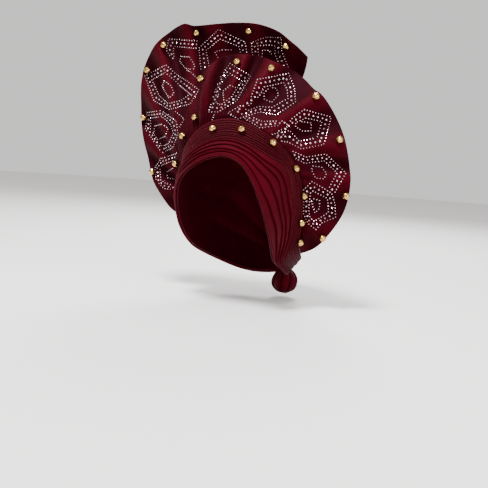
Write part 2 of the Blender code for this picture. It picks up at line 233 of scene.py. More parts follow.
def cloth_grid(columns, rows, place, cut, crease):
    """A grid of faces bent to place(u, v) with its closed seams welded. Its map is in metres of cloth
    as cut, and crease(u, v, points) says how deep in a fold each point lies, below 0 on a ridge."""
    grid = bmesh.new()
    bmesh.ops.create_grid(grid, x_segments=columns, y_segments=rows, size=0.5)
    grid.verts.index_update()
    shares = np.array([vert.co[:2] for vert in grid.verts]) + 0.5
    weave = grid.loops.layers.uv.new("cloth")
    for face in grid.faces:
        for loop in face.loops:
            loop[weave].uv = shares[loop.vert.index] * cut
    points = place(shares[:, 0], shares[:, 1])
    # The fold value is painted: shade in the folds, a highlight on the ridges.
    fold = grid.verts.layers.float.new("fold")
    for vert, point, depth in zip(grid.verts, points, crease(shares[:, 0], shares[:, 1], points)):
        vert.co = point
        vert[fold] = depth
    bmesh.ops.remove_doubles(grid, verts=grid.verts, dist=WELD)
    grid.normal_update()
    faces = grid.faces[:]
    outward = faces[0].normal.copy()
    bmesh.ops.recalc_face_normals(grid, faces=faces)
    if faces[0].normal.dot(outward) < 0:
        bmesh.ops.reverse_faces(grid, faces=faces)
    return grid


def add_piece(name, shape, finish, smooth=True):
    """A finished object of this shape and material, at the origin."""
    mesh = bpy.data.meshes.new(name)
    shape.to_mesh(mesh)
    shape.free()
    if smooth:
        mesh.shade_smooth()
        mesh.set_sharp_from_angle(angle=SHARP_ANGLE)
    mesh.materials.append(finish)
    piece = bpy.data.objects.new(name, mesh)
    bpy.context.scene.collection.objects.link(piece)
    return piece


def give_wall(piece, wall):
    """Thicken a sheet inwards, away from the way its faces look."""
    modifier = piece.modifiers.new("wall", "SOLIDIFY")
    modifier.thickness = wall
    modifier.offset = -1
    return piece


def satin_cloth(name, lit, deep, ridge_highlight_tint, ridge_highlight_share):
    """Stiff wine satin: fine threads both ways, a little uneven in dye, darkened in the folds with
    painted shade, and lightened along its ridges with a painted highlight."""
    finish = bpy.data.materials.new(name)
    finish.use_nodes = True
    nodes, links = finish.node_tree.nodes, finish.node_tree.links
    shader = nodes["Principled BSDF"]
    shader.inputs["Specular IOR Level"].default_value = 0.15
    shader.inputs["Specular Tint"].default_value = (0.85, 0.05, 0.17, 1.0)
    shader.inputs["Sheen Weight"].default_value = 0.03
    shader.inputs["Sheen Roughness"].default_value = 0.45
    shader.inputs["Sheen Tint"].default_value = (0.60, 0.05, 0.15, 1.0)

    room_place = nodes.new("ShaderNodeTexCoord").outputs["Object"]
    dye = nodes.new("ShaderNodeTexNoise")
    dye.inputs["Scale"].default_value = 26.0
    dye.inputs["Detail"].default_value = 5.0
    dye.inputs["Roughness"].default_value = 0.6
    links.new(room_place, dye.inputs["Vector"])
    uneven = nodes.new("ShaderNodeMapRange")
    uneven.inputs["From Min"].default_value = 0.30
    uneven.inputs["From Max"].default_value = 0.70
    links.new(dye.outputs["Fac"], uneven.inputs["Value"])
    ground = nodes.new("ShaderNodeMix")
    ground.data_type = "RGBA"
    ground.inputs["A"].default_value = (*deep, 1.0)
    ground.inputs["B"].default_value = (*lit, 1.0)
    links.new(uneven.outputs["Result"], ground.inputs["Factor"])

    # Painted shade: where the fold value is above 0, the colour is darkened towards a share of the deep
    # colour.
    fold = nodes.new("ShaderNodeAttribute")
    fold.attribute_name = "fold"
    fold_shade_mask = nodes.new("ShaderNodeMapRange")
    fold_shade_mask.inputs["From Min"].default_value = 0.0
    fold_shade_mask.inputs["From Max"].default_value = 0.8
    fold_shade_mask.inputs["To Max"].default_value = 0.80
    links.new(fold.outputs["Fac"], fold_shade_mask.inputs["Value"])
    shaded = nodes.new("ShaderNodeMix")
    shaded.data_type = "RGBA"
    shaded.inputs["B"].default_value = (*[FOLD_SHADE_TONE * part for part in deep], 1.0)
    links.new(fold_shade_mask.outputs["Result"], shaded.inputs["Factor"])
    links.new(ground.outputs["Result"], shaded.inputs["A"])
    # Painted highlight: where the fold value is below -0.55, on ridges, the colour is lightened towards
    # the highlight tint.
    ridge_highlight_mask = nodes.new("ShaderNodeMapRange")
    ridge_highlight_mask.inputs["From Min"].default_value = -0.55
    ridge_highlight_mask.inputs["From Max"].default_value = -1.0
    ridge_highlight_mask.inputs["To Max"].default_value = ridge_highlight_share
    links.new(fold.outputs["Fac"], ridge_highlight_mask.inputs["Value"])
    ridge_highlighted = nodes.new("ShaderNodeMix")
    ridge_highlighted.data_type = "RGBA"
    ridge_highlighted.inputs["B"].default_value = (*ridge_highlight_tint, 1.0)
    links.new(ridge_highlight_mask.outputs["Result"], ridge_highlighted.inputs["Factor"])
    links.new(shaded.outputs["Result"], ridge_highlighted.inputs["A"])
    links.new(ridge_highlighted.outputs["Result"], shader.inputs["Base Color"])

    nap = nodes.new("ShaderNodeMapRange")
    nap.inputs["To Min"].default_value = 0.56
    nap.inputs["To Max"].default_value = 0.78
    links.new(dye.outputs["Fac"], nap.inputs["Value"])
    links.new(nap.outputs["Result"], shader.inputs["Roughness"])

    cut_place = nodes.new("ShaderNodeUVMap")
    cut_place.uv_map = "cloth"
    threads = []
    for direction, scale in THREADS:
        thread = nodes.new("ShaderNodeTexWave")
        thread.bands_direction = direction
        thread.inputs["Scale"].default_value = scale
        thread.inputs["Distortion"].default_value = 0.6
        links.new(cut_place.outputs["UV"], thread.inputs["Vector"])
        threads.append(thread.outputs["Fac"])
    weave = nodes.new("ShaderNodeMath")
    weave.operation = "ADD"
    links.new(threads[0], weave.inputs[0])
    links.new(threads[1], weave.inputs[1])
    slub = nodes.new("ShaderNodeTexNoise")
    slub.inputs["Scale"].default_value = 420.0
    slub.inputs["Detail"].default_value = 3.0
    links.new(room_place, slub.inputs["Vector"])
    raised = nodes.new("ShaderNodeMath")
    raised.operation = "ADD"
    links.new(weave.outputs["Value"], raised.inputs[0])
    links.new(slub.outputs["Fac"], raised.inputs[1])
    bump = nodes.new("ShaderNodeBump")
    bump.inputs["Strength"].default_value = 0.35
    bump.inputs["Distance"].default_value = 0.00012
    links.new(raised.outputs["Value"], bump.inputs["Height"])
    links.new(bump.outputs["Normal"], shader.inputs["Normal"])
    return finish


def crown_place(u, v):
    """The cloth round the cap by u and from its front edge to the back by v, with the drag folds."""
    clock = 360.0 * u - 180.0
    rim, _, pleats_rear, _ = head_lines(clock)
    sweep = rim + (180.0 - rim) * v
    flat = over_head(clock, sweep, np.zeros(len(u)))
    knot = over_head(np.array([KNOT_CLOCK]), np.array([KNOT_SWEEP]), np.zeros(1))
    away = flat - knot
    distance = np.linalg.norm(away, axis=1)
    round_knot = np.arctan2(away[:, 0], away[:, 2])
    wander = SWAY_ALONG * np.sin(SWAYS_ALONG * distance / CROWN_HEIGHT)
    wander = wander + SWAY_ROUND * np.sin(SWAYS_ROUND * round_knot)
    drag = 0.5 + 0.5 * np.cos(DRAG_FOLDS * round_knot + wander)
    clear = eased(sweep - pleats_rear, *DRAG_CLEAR) * eased(distance, *DRAG_REACH)
    return over_head(clock, sweep, CAP_WALL + DRAG_DEPTH * drag ** 2 * clear)


def crown_crease(u, v, points):
    """Above 0 between the drag folds and below 0 on them, by how far each point is from mid depth; above
    0 the colour is darkened as painted shade.
    """
    clock = 360.0 * u - 180.0
    rim = head_lines(clock)[0]
    middle = over_head(clock, rim + (180.0 - rim) * v, np.full(len(u), CAP_WALL + DRAG_DEPTH / 2))
    raised = np.linalg.norm(points - HEAD_CENTRE, axis=1) - np.linalg.norm(middle - HEAD_CENTRE, axis=1)
    return -0.5 * raised / DRAG_DEPTH


wine_satin = satin_cloth("wine_satin", lit=(0.038, 0.0007, 0.0029), deep=(0.025, 0.0004, 0.0018),
                         ridge_highlight_tint=(0.046, 0.0011, 0.0040), ridge_highlight_share=0.3)
crown_sheet = cloth_grid(*CROWN_GRID, crown_place, CROWN_CUT, crown_crease)
crown_cloth = add_piece("crown_cloth", crown_sheet, wine_satin)
give_wall(crown_cloth, CAP_SHEET)
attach(crown_cloth, "root")
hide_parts("crown_wrap")

# Brow pleats: the folded front edge of the wrap, five deep knife pleats pressed flat and pulled from
# the knot over the front and back to it. Each fold looks forwards and covers the next one's tuck, and
# the folds wander a little, as cloth laid by hand does.
BAND_PLEATS = 5
BAND_CLOTH = 0.0012
BAND_STEP = 0.0026
BAND_TUCK = 0.0034
BAND_WANDER = 0.22
BAND_CUT = (0.58, 0.036)
FOLD_CLEARANCE = 0.00015
NOSE_POINTS = 6
NOSE_TUCKED, NOSE_OVER = -0.4, 1.2
NOSE_SHADE, TUCK_SHADE, END_SHADE = 0.6, 0.8, 0.3
PLEAT_SHARES = (0.30, 0.62, 0.86)
INSIDE_SHARES = (1.0, 0.75, 0.5, 0.25, 0.0)
TUCK_PRESSED = (0.95, 0.90)
PUFF = 1.5
FREE_OF_EDGES = 6
LOFT, LOFT_WAVES, LOFT_SHIFT = 0.10, 5, 1.7
DRIFTS = [
    # height, waves round the strip, shift from pleat to pleat
    (1.0, 3, 2.1),
    (0.6, 7, -1.3),
    (0.3, 17, 3.7),
]
STRIP_COLUMNS = 360


def knife_pleats(pleats, cloth, step, tuck):
    """Corners round a strip of knife pleats: the pleat, its share of the width, a shift behind that
    share, the height over the inside and how deep in a fold the corner lies."""
    section = []
    for pleat in range(pleats):
        low = 0.0 if pleat == 0 else cloth + FOLD_CLEARANCE
        radius = (cloth + step - low) / 2
        for angle in np.linspace(-np.pi / 2, np.pi / 2, NOSE_POINTS):
            shift = radius * (1 - np.cos(angle))
            # Fold value for painted colour: shade under the nose and in the tuck, a painted highlight
            # (-1) on the nose.
            depth = NOSE_SHADE if angle < NOSE_TUCKED else -1.0 if angle < NOSE_OVER else 0.0
            section.append((pleat, pleat / pleats, shift, low + radius * (1 + np.sin(angle)), depth))
        for share in PLEAT_SHARES:
            height = step * (1 - share ** PUFF) + cloth
            section.append((pleat + share, (pleat + share) / pleats, 0.0, height, 0.0))
        if pleat < pleats - 1:
            after = (pleat + 1) / pleats
            section.append((pleat + 1, after, tuck / 2, TUCK_PRESSED[0] * cloth, TUCK_SHADE))
            section.append((pleat + 1, after, tuck, TUCK_PRESSED[1] * cloth, 1.0))
            section.append((pleat + 1, after, tuck, cloth, 1.0))
    section.append((pleats, 1.0, 0.0, cloth, END_SHADE))
    inside = [(pleats * share, share, 0.0, 0.0, 0.0) for share in INSIDE_SHARES]
    return np.array(section + inside + section[:1])


def strip_place(section, edges, wander):
    """place(u, v) for a pleated strip from knot to knot; edges gives its two sweeps and rear lift."""
    end_gap = np.degrees(EDGE_GAP / HEAD_BREADTH)
    first = KNOT_CLOCK - 360.0 + end_gap
    last = KNOT_CLOCK - end_gap

    def place(u, v):
        clock = first + (last - first) * u
        front, rear, lift = edges(clock)
        pleat, share, shift, height, depth = section[np.rint(v * (len(section) - 1)).astype(int)].T
        turn = np.radians(clock)
        drift = sum(high * np.sin(waves * turn + aside * pleat) for high, waves, aside in DRIFTS)
        count = section[:, 0].max()
        free = np.clip(share * (1 - share) * FREE_OF_EDGES, 0, 1)
        share = share + wander * drift * free / count / 2
        loft = 1 + LOFT * np.sin(LOFT_WAVES * turn + LOFT_SHIFT * pleat) * free
        sweep = front + (rear - front) * share + np.degrees(shift / CROWN_HEIGHT)
        sweep = np.minimum(sweep, rear)
        return over_head(clock, sweep, ON_CAP + height * loft + lift * np.clip(share, 0, 1) ** 2)
    return place


def strip_crease(section):
    """crease(u, v, points) for a pleated strip, from the last column of its section."""
    def crease(u, v, points):
        return section[np.rint(v * (len(section) - 1)).astype(int), 4]
    return crease


def close_ends(strip):
    """Close the open ends of a strip, and turn all its faces outwards."""
    ends = [edge for edge in strip.edges if edge.is_boundary]
    bmesh.ops.holes_fill(strip, edges=ends, sides=0)
    bmesh.ops.recalc_face_normals(strip, faces=strip.faces)
    return strip


def band_edges(clock):
    """The band runs from the rim to the pleats, and lies on the cap all over."""
    rim, band_rear, _, _ = head_lines(clock)
    return rim, band_rear, np.zeros(len(clock))


band_section = knife_pleats(BAND_PLEATS, BAND_CLOTH, BAND_STEP, BAND_TUCK)
band_strip = cloth_grid(STRIP_COLUMNS, len(band_section) - 1,
                        strip_place(band_section, band_edges, BAND_WANDER),
                        BAND_CUT, strip_crease(band_section))
brow_pleats = add_piece("brow_pleats", close_ends(band_strip), wine_satin)
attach(brow_pleats, "root")
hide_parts("brow_band")

# Narrow pleats: the next stretch of the same cloth, nine narrow knife pleats pressed close, from the
# knot up over the crown and back. Their cloth is painted darker than the band's as painted shade, and
# their pressed edges carry a strong painted highlight.
FINE_PLEATS = 9
FINE_CLOTH = 0.0011
FINE_STEP = 0.0017
FINE_TUCK = 0.0019
FINE_WANDER = 0.20
PLEAT_LIFT = 0.010
FINE_CUT = (0.62, 0.048)


def fine_pleat_edges(clock):
    """The narrow pleats run back from the band, and their rear edge is lifted by the fan over the top."""
    _, band_rear, pleats_rear, lift = head_lines(clock)
    return band_rear + EDGE_SWEEP, pleats_rear, lift * PLEAT_LIFT


# Painted shade and highlight: the band's satin painted darker, with a bright painted highlight on the
# pressed edges.
shaded_pleat_satin = satin_cloth("shaded_pleat_satin", lit=(0.020, 0.0003, 0.0014), deep=(0.010, 0.0001, 0.0006),
                            ridge_highlight_tint=(0.100, 0.0120, 0.0170), ridge_highlight_share=0.4)
fine_section = knife_pleats(FINE_PLEATS, FINE_CLOTH, FINE_STEP, FINE_TUCK)
fine_strip = cloth_grid(STRIP_COLUMNS, len(fine_section) - 1,
                        strip_place(fine_section, fine_pleat_edges, FINE_WANDER),
                        FINE_CUT, strip_crease(fine_section))
fine_skin = BVHTree.FromBMesh(fine_strip)
narrow_pleats = add_piece("narrow_pleats", close_ends(fine_strip), shaded_pleat_satin)
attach(narrow_pleats, "root")
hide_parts("fine_pleats")

# Back lobe: the tall part of the fan, the free end of the wrap gathered along the rear pleats and
# stood up in ribs over the right side and the crown, with its top bowed forward a little. It is a
# single width with a pressed edge, painted darker than the band as painted shade, and each bead
# dimples it.
FAN_TURN = 15.0
HUB_HEIGHT = -0.060
BACK_REACH = 0.222
FAN_DEPTH = 0.040
FAN_CLOTH = 0.0016
FAN_SHEET = 0.0011
BACK_SETTLE = 12.0
BASE_TUCK = 0.045
# Gathers, ripples and crumple have a depth, and shares of the lobe's length where they rise or fade
GATHER_DEPTH = 0.0005
GATHERS_RISE, GATHERS_FADE = (0.0, 0.06), (0.05, 0.40)
BROAD_DRIFT, BROAD_WAVES = 0.35, 9
NARROW_DRIFT, NARROW_WAVES = 0.25, 23
RIPPLE_DEPTH = 0.0005
RIPPLE_SHARE, RIPPLE_LEAN = 0.37, 0.6
RIPPLE_DRIFT, RIPPLE_WAVES = 3, 11
RIPPLES_RISE, RIPPLES_FADE = (0.08, 0.35), 0.6
CRUMPLE_DEPTH = 0.0005
CRUMPLE_GRAIN, CRUMPLE_FINE_GRAIN, CRUMPLE_FINE = 38, 95, 0.45
CRUMPLE_RISE = (0.03, 0.20)
DIMPLE_DEPTH = 0.0005
DIMPLE_REACH, DIMPLE_PULL = (0.004, 0.011), (0.0055, 0.013)
FACING_PROBE = 0.002
BACK_GATHERS, BACK_SEED = 34, 2.0
BEAD_COUNT = 24
FOLD_SCALES = [(3, 0.0045), (12, 0.0064)]
BACK_SHADE = 0.46
BACK_COLUMNS, BACK_ROWS = 288, 112
BACK_CUT = (0.50, 0.13)
BACK_RIBS = [
    # clock, back, bearing, reach, near, mid, edge
    (-108.0, 0.0, -126.0, 0.52, -0.64, -0.54, -0.45),
    (-100.0, 0.0, -117.5, 0.57, -0.44, -0.32, -0.25),
    (-92.0, 0.0, -109.5, 0.59, -0.34, -0.20, -0.10),
    (-84.0, 0.0, -98.5, 0.62, -0.14, 0.02, 0.08),
    (-76.0, 0.0, -86.5, 0.67, -0.14, -0.12, -0.06),
    (-68.0, 0.0, -75.5, 0.72, 0.12, 0.14, 0.12),
    (-60.0, 0.0, -65.5, 0.81, 0.10, -0.06, -0.08),
    (-52.5, 0.0, -55.0, 0.88, 0.40, 0.26, 0.16),
    (-45.5, 0.0, -48.5, 0.95, 0.34, 0.00, -0.04),
    (-39.5, 0.0, -41.0, 0.96, 0.58, 0.32, 0.20),
    (-34.0, 0.5, -35.5, 0.98, 0.44, -0.04, -0.04),
    (-29.0, 3.0, -28.0, 0.94, 0.50, 0.14, 0.36),
    (-24.0, 6.0, -25.0, 0.915, 0.34, -0.20, 0.06),
    (-18.5, 9.0, -18.0, 0.87, 0.26, -0.20, 0.28),
    (-12.0, 11.0, -10.5, 0.86, 0.12, -0.34, 0.06),
    (-4.0, 12.0, -1.0, 0.83, 0.14, -0.28, 0.26),
    (5.0, 12.0, 7.0, 0.81, 0.08, -0.36, 0.12),
    (14.0, 12.0, 16.0, 0.76, 0.10, -0.26, 0.28),
    (23.0, 12.0, 25.0, 0.72, 0.06, -0.30, 0.14),
]
TURN = np.radians(FAN_TURN)
FAN_ACROSS = np.array([np.cos(TURN), np.sin(TURN), 0.0])
FAN_UP = np.array([0.0, 0.0, 1.0])
FAN_FRONT = np.array([np.sin(TURN), -np.cos(TURN), 0.0])
FAN_HUB = np.array([0.0, 0.0, HUB_HEIGHT])
BEAD_NODES = ["bead_%02d" % number for number in range(1, BEAD_COUNT + 1)]
bead_centres = {node: sum(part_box(node), Vector()) / 2 for node in BEAD_NODES}


def fan_surface(ribs, reach):
    """The smooth front of a lobe as place(u, v): u runs across its ribs and v along them."""
    table = [(row / (len(ribs) - 1), *rib) for row, rib in enumerate(ribs)]

    def place(u, v):
        clock, behind, bearing, far, near, mid, edge = smooth_rows(table, u).T
        _, _, pleats_rear, lift = head_lines(clock)
        lift = lift * PLEAT_LIFT * np.clip(1 - behind / BACK_SETTLE, 0, 1) + ON_CAP + FAN_CLOTH
        base = over_head(clock, pleats_rear + EDGE_SWEEP + behind, lift)
        root = over_head(clock, pleats_rear + EDGE_SWEEP + behind, np.full(len(u), CAP_WALL))
        bearing = np.radians(bearing)
        start = (base - FAN_HUB) @ np.array([FAN_ACROSS, FAN_UP, FAN_FRONT]).T
        across = start[:, 0] + (far * reach * np.sin(bearing) - start[:, 0]) * v
        height = start[:, 1] + (far * reach * np.cos(bearing) - start[:, 1]) * v
        thirds = np.array([start[:, 2], near * FAN_DEPTH, mid * FAN_DEPTH, edge * FAN_DEPTH])
        weights = np.array([(1 - 3 * v) * (2 - 3 * v) * (1 - v) / 2, 9 * v * (1 - v) * (2 - 3 * v) / 2,
                            9 * v * (1 - v) * (3 * v - 1) / 2, v * (3 * v - 1) * (3 * v - 2) / 2])
        depth = (thirds * weights).sum(axis=0)
        sewn = (root - base) * (1 - eased(v, 0.0, BASE_TUCK))[:, None]
        return (FAN_HUB + across[:, None] * FAN_ACROSS + height[:, None] * FAN_UP
                + depth[:, None] * FAN_FRONT + sewn)
    return place


def facing(place, u, v):
    """The way the front of a surface looks at each place."""
    before, after = np.clip(u - FACING_PROBE, 0, 1), np.clip(u + FACING_PROBE, 0, 1)
    below, above = np.clip(v - FACING_PROBE, 0, 1), np.clip(v + FACING_PROBE, 0, 1)
    across = place(after, v) - place(before, v)
    along = place(u, above) - place(u, below)
    way = np.cross(across, along)
    return way / np.linalg.norm(way, axis=1, keepdims=True)


def dressed(surface, gathers, seed):
    """The same surface with its gathers at the base, soft ripples, and the crumple of handled cloth."""
    beads = np.array([bead_centres[node] for node in BEAD_NODES])

    def place(u, v):
        points = surface(u, v)
        drift = BROAD_DRIFT * np.sin(BROAD_WAVES * u + seed) + NARROW_DRIFT * np.sin(NARROW_WAVES * u)
        gather = GATHER_DEPTH * np.cos(2 * np.pi * (gathers * u + drift))
        gather = gather * (1 - eased(v, *GATHERS_FADE)) * eased(v, *GATHERS_RISE)
        sway = RIPPLE_DRIFT * np.sin(RIPPLE_WAVES * u + seed)
        ripple = np.sin(2 * np.pi * (RIPPLE_SHARE * gathers * u + RIPPLE_LEAN * v) + sway)
        ripple = RIPPLE_DEPTH * ripple * eased(v, *RIPPLES_RISE) * (1 - RIPPLES_FADE * v)
        crumple = [noise.noise(Vector(point) * CRUMPLE_GRAIN + Vector((seed, 0, 0)))
                   + CRUMPLE_FINE * noise.noise(Vector(point) * CRUMPLE_FINE_GRAIN + Vector((0, seed, 0)))
                   for point in points]
        crumple = CRUMPLE_DEPTH * np.array(crumple) * eased(v, *CRUMPLE_RISE)
        nearest = np.min([np.linalg.norm(points - bead, axis=1) for bead in beads], axis=0)
        dimple = -DIMPLE_DEPTH * (1 - eased(nearest, *DIMPLE_REACH))
        off = (gather + ripple + crumple) * eased(nearest, *DIMPLE_PULL) + dimple
        return points + facing(surface, u, v) * off[:, None]
    return place


def fold_depth(columns, rows, shade):
    """crease(u, v, points) for a grid of columns and rows: how far each point lies behind the mean
    of those on both sides of it across the lobe, as a share of FOLD_SCALES, near and far together,
    with shade added all over."""
    def crease(u, v, points):
        column, row = np.rint(u * columns).astype(int), np.rint(v * rows).astype(int)
        grid = np.zeros((columns + 1, rows + 1, 3))
        grid[column, row] = points
        across, along = np.gradient(grid, axis=0), np.gradient(grid, axis=1)
        way = np.cross(across, along)
        way /= np.linalg.norm(way, axis=2, keepdims=True)
        depth = np.full((columns + 1, rows + 1), shade)
        for reach, scale in FOLD_SCALES:
            padded = np.pad(grid, ((reach, reach), (0, 0), (0, 0)), mode="reflect", reflect_type="odd")
            around = (padded[2 * reach:] + padded[:-2 * reach]) / 2
            depth += ((around - grid) * way).sum(axis=2) / scale
        return np.clip(depth, -1, 1)[column, row]
    return crease


# Painted shade: the band's satin painted darker for both lobes.
shaded_fan_satin = satin_cloth("shaded_fan_satin", lit=(0.026, 0.0004, 0.0019), deep=(0.015, 0.0002, 0.0010),
                        ridge_highlight_tint=(0.042, 0.0010, 0.0036), ridge_highlight_share=0.3)
back_form = dressed(fan_surface(BACK_RIBS, BACK_REACH), BACK_GATHERS, BACK_SEED)
back_sheet = cloth_grid(BACK_COLUMNS, BACK_ROWS, back_form, BACK_CUT,
                        fold_depth(BACK_COLUMNS, BACK_ROWS, BACK_SHADE))
back_skin = BVHTree.FromBMesh(back_sheet)
back_lobe = add_piece("back_lobe", back_sheet, shaded_fan_satin)
give_wall(back_lobe, FAN_SHEET)
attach(back_lobe, "root")
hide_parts("fan_back")

# Front lobe: the second tier of the fan, the same cloth brought round in front of the back lobe from
# a rolled fold over the front to the lower left side, with broad ribs.
FRONT_REACH = 0.152
FRONT_GATHERS, FRONT_SEED = 26, 5.0
FRONT_CUT = (0.46, 0.10)
FRONT_SHADE = 0.38
FRONT_COLUMNS, FRONT_ROWS = 272, 96
FRONT_RIBS = [
    # clock, back, bearing, reach, near, mid, edge
    (-21.0, 0.0, -32.5, 0.81, 0.92, 0.66, 0.36),
    (-18.5, 0.0, -25.0, 0.90, 1.14, 1.00, 0.66),
    (-16.0, 0.0, -19.5, 0.95, 1.08, 0.90, 0.55),
    (-13.0, 0.0, -14.0, 0.99, 0.80, 0.44, 0.20),
    (-9.0, 0.0, -4.0, 0.965, 0.88, 0.66, 0.40),
    (-5.0, 0.0, 2.0, 0.96, 0.68, 0.32, 0.15),
    (0.0, 0.0, 12.5, 0.92, 0.98, 0.82, 0.50),
    (7.0, 0.0, 23.0, 0.91, 0.68, 0.42, 0.15),
    (15.0, 0.0, 36.5, 0.88, 0.68, 0.52, 0.35),
    (24.0, 0.0, 43.5, 0.89, 0.78, 0.72, 0.45),
    (33.0, 0.0, 57.5, 0.87, 0.44, 0.32, 0.15),
    (43.0, 0.0, 72.5, 0.875, 0.56, 0.56, 0.35),
    (55.0, 0.0, 82.5, 0.87, 0.40, 0.28, 0.15),
    (67.0, 0.0, 91.0, 0.89, 0.46, 0.40, 0.30),
    (81.0, 0.0, 106.5, 0.89, 0.36, 0.22, 0.15),
    (95.0, 0.0, 122.0, 0.88, 0.42, 0.36, 0.30),
    (106.0, 0.0, 132.5, 0.865, 0.36, 0.24, 0.15),
    (115.0, 0.0, 140.5, 0.83, 0.40, 0.34, 0.25),
]
front_form = dressed(fan_surface(FRONT_RIBS, FRONT_REACH), FRONT_GATHERS, FRONT_SEED)
front_sheet = cloth_grid(FRONT_COLUMNS, FRONT_ROWS, front_form, FRONT_CUT,
                         fold_depth(FRONT_COLUMNS, FRONT_ROWS, FRONT_SHADE))
front_skin = BVHTree.FromBMesh(front_sheet)
front_lobe = add_piece("front_lobe", front_sheet, shaded_fan_satin)
give_wall(front_lobe, FAN_SHEET)
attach(front_lobe, "root")
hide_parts("fan_front")

# Nape knot: the two ends of the wrap twisted together, tucked and tied into a tight gathered bun low
# at the back, with a short gathered neck above it.
KNOT_RADIUS = 0.0176
KNOT_GATHERS = 9
KNOT_GATHER_DEPTH = 0.0013
KNOT_PUFF, KNOT_UNEVEN = 0.3, 0.5
KNOT_DARK, KNOT_LIGHT = 1.4, 0.5
KNOT_TWIST = 2.6
KNOT_SWIRLS = [
    # angle, waves round, start, change along
    (1.1, 2, 1.0, 0.0),
    (0.6, 3, 0.0, 2.0),
]
KNOT_SWELLS = [
    # height, waves round, change along
    (1.0, 2, -1.4),
    (0.7, 5, 2.9),
]
KNOT_COLUMNS, KNOT_ROWS = 132, 60
KNOT_CUT = (0.094, 0.050)
KNOT_END_SWEEP = 90.0
KNOT_SECTIONS = [
    # along, radius
    (-1.12, 0.42),
    (-0.98, 0.52),
    (-0.78, 0.70),
    (-0.45, 0.90),
    (-0.15, 0.99),
    (0.20, 0.98),
    (0.55, 0.83),
    (0.82, 0.56),
    (1.00, 0.00),
]

knot_centre = np.array(sum(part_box("nape_knot"), Vector()) / 2)


def knot_axes():
    """Sideways, outward and downward ways of a bun that hangs from the ends of the pleats."""
    down = knot_centre - over_head(np.array([KNOT_CLOCK]), np.array([KNOT_END_SWEEP]), [ON_CAP])[0]
    down /= np.linalg.norm(down)
    beside = np.cross(down, [0.0, 1.0, 0.0])
    beside /= np.linalg.norm(beside)
    return beside, np.cross(beside, down), down


def knot_folds(turn, along):
    """0 between the gathers of the bun and 1 deep in them; they swirl and are unevenly spaced."""
    swirl = KNOT_TWIST * along
    for angle, waves, start, change in KNOT_SWIRLS:
        swirl = swirl + angle * np.sin(waves * turn + start + change * along)
    return 0.5 + 0.5 * np.cos(KNOT_GATHERS * turn + swirl)


def knot_lines(v):
    """How far along the bun each share v of its length lies and how wide it is there, in radii."""
    table = [(row / (len(KNOT_SECTIONS) - 1), *section) for row, section in enumerate(KNOT_SECTIONS)]
    return smooth_rows(table, v).T


def knot_place(u, v):
    """The gathered bun, round by u and down by v."""
    beside, outward, down = knot_axes()
    along, radius = knot_lines(v)
    turn = 2 * np.pi * u
    fold = knot_folds(turn, along)
    swell = sum(high * np.cos(waves * turn + change * along) for high, waves, change in KNOT_SWELLS)
    size = radius * (KNOT_RADIUS + KNOT_GATHER_DEPTH * (KNOT_PUFF - fold ** 3 + KNOT_UNEVEN * swell))
    ring = np.outer(size * np.cos(turn), beside) + np.outer(size * np.sin(turn), outward)
    return knot_centre + ring + np.outer(along * KNOT_RADIUS, down)


def knot_crease(u, v, points):
    """Painted shade: dark between the bun's gathers, and left light on them."""
    along = knot_lines(v)[0]
    return KNOT_DARK * knot_folds(2 * np.pi * u, along) ** 3 - KNOT_LIGHT


knot = cloth_grid(KNOT_COLUMNS, KNOT_ROWS, knot_place, KNOT_CUT, knot_crease)
knot_neck = [edge for edge in knot.edges if edge.is_boundary]
bmesh.ops.holes_fill(knot, edges=knot_neck, sides=0)
bmesh.ops.recalc_face_normals(knot, faces=knot.faces)
nape_bun = add_piece("nape_bun", knot, wine_satin)
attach(nape_bun, "root")
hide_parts("nape_knot")

# Gold beads: hollow round beads of gold-coloured metal, lightly hammered and polished, each bored
# through to be sewn down, in a spaced row inside the fan's edge and a second one along its gathers
# and the narrow pleats.
BEAD_DIAMETER = 0.009
BEAD_BORE = 0.0011
BEAD_STEPS = 24
BEAD_ARC = 9
BEAD_SINK = 0.0002


def hammered_gold():
    """Gold-coloured metal with small hammered facets, and a tone and polish that vary a little."""
    finish = bpy.data.materials.new("polished_gold")
    finish.use_nodes = True
    nodes, links = finish.node_tree.nodes, finish.node_tree.links
    shader = nodes["Principled BSDF"]
    shader.inputs["Metallic"].default_value = 1.0
    room_place = nodes.new("ShaderNodeTexCoord").outputs["Object"]
    rub = nodes.new("ShaderNodeTexNoise")
    rub.inputs["Scale"].default_value = 310.0
    rub.inputs["Detail"].default_value = 4.0
    links.new(room_place, rub.inputs["Vector"])
    tone = nodes.new("ShaderNodeMix")
    tone.data_type = "RGBA"
    tone.inputs["A"].default_value = (0.38, 0.20, 0.045, 1.0)
    tone.inputs["B"].default_value = (0.66, 0.43, 0.14, 1.0)
    links.new(rub.outputs["Fac"], tone.inputs["Factor"])
    links.new(tone.outputs["Result"], shader.inputs["Base Color"])
    polish = nodes.new("ShaderNodeMapRange")
    polish.inputs["To Min"].default_value = 0.10
    polish.inputs["To Max"].default_value = 0.26
    links.new(rub.outputs["Fac"], polish.inputs["Value"])
    links.new(polish.outputs["Result"], shader.inputs["Roughness"])
    facets = nodes.new("ShaderNodeTexVoronoi")
    facets.inputs["Scale"].default_value = 420.0
    links.new(room_place, facets.inputs["Vector"])
    bump = nodes.new("ShaderNodeBump")
    bump.inputs["Strength"].default_value = 0.35
    bump.inputs["Distance"].default_value = 0.0009
    links.new(facets.outputs["Distance"], bump.inputs["Height"])
    links.new(bump.outputs["Normal"], shader.inputs["Normal"])
    return finish


